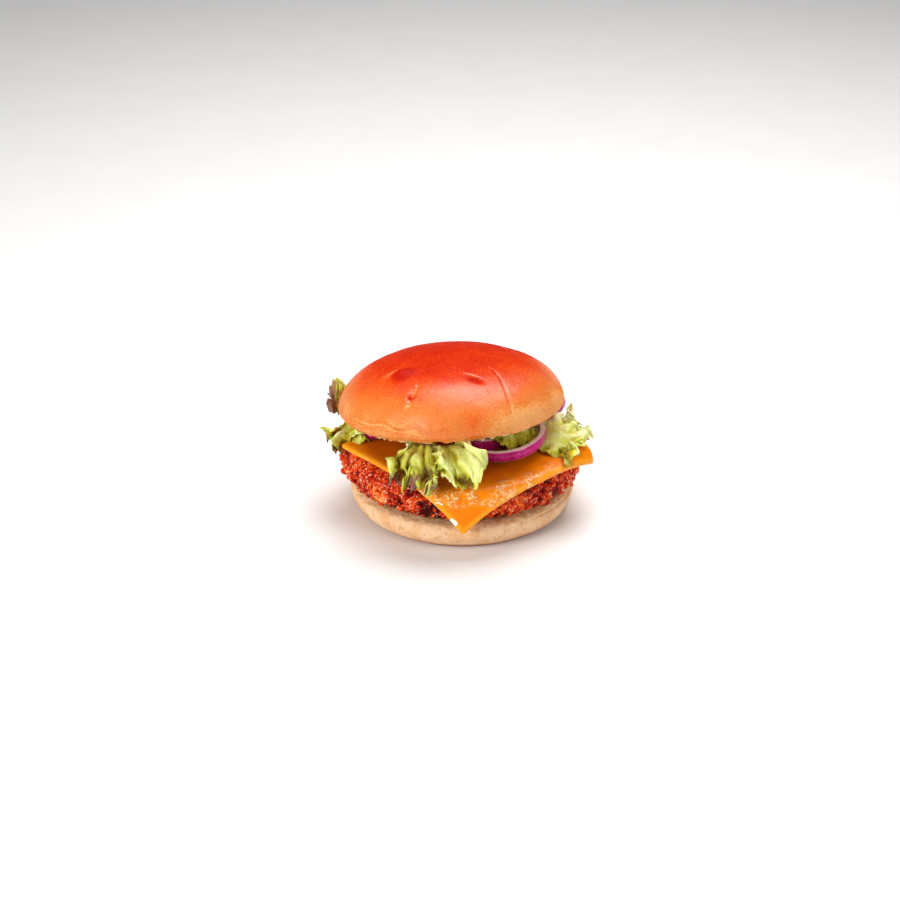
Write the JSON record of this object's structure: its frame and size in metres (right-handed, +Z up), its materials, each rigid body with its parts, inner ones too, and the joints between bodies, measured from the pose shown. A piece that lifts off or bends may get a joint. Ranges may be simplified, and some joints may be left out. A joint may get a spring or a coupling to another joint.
{
  "type": "chicken burger",
  "caption": "Round-bun burger with a crumbed chicken patty, a draped cheese slice, red onion rings and frilly lettuce, its lid tipped back.",
  "frame": {"origin": "centre of the heel's flat base, on the surface that the burger stands on", "axes": "+Z up, -Y towards the front, where the slice of cheese hangs down, +X to the right"},
  "size_m": [0.1327, 0.1309, 0.0815],
  "materials": {
    "bun_heel": "soft pale bread, matte",
    "bun_crown": "glazed baked crust, satin",
    "patty": "fried crumb coating, rough and oily",
    "cheese": "melted processed cheese, glossy",
    "onion": "raw red onion, wet",
    "lettuce": "fresh frilly leaf, satin"
  },
  "bodies": {
    "root": {"bun_heel": "bun_heel", "chicken_patty": "patty", "cheese_slice": "cheese", "bun_crown": "bun_crown", "onion_ring_front": "onion", "onion_ring_small": "onion", "onion_ring_left": "onion", "onion_ring_right": "onion", "lettuce_front_left": "lettuce", "lettuce_front": "lettuce", "lettuce_right": "lettuce", "lettuce_left": "lettuce", "lettuce_left_back": "lettuce", "lettuce_inner": "lettuce", "lettuce_back_left": "lettuce", "lettuce_back_right": "lettuce"}
  },
  "joints": []
}
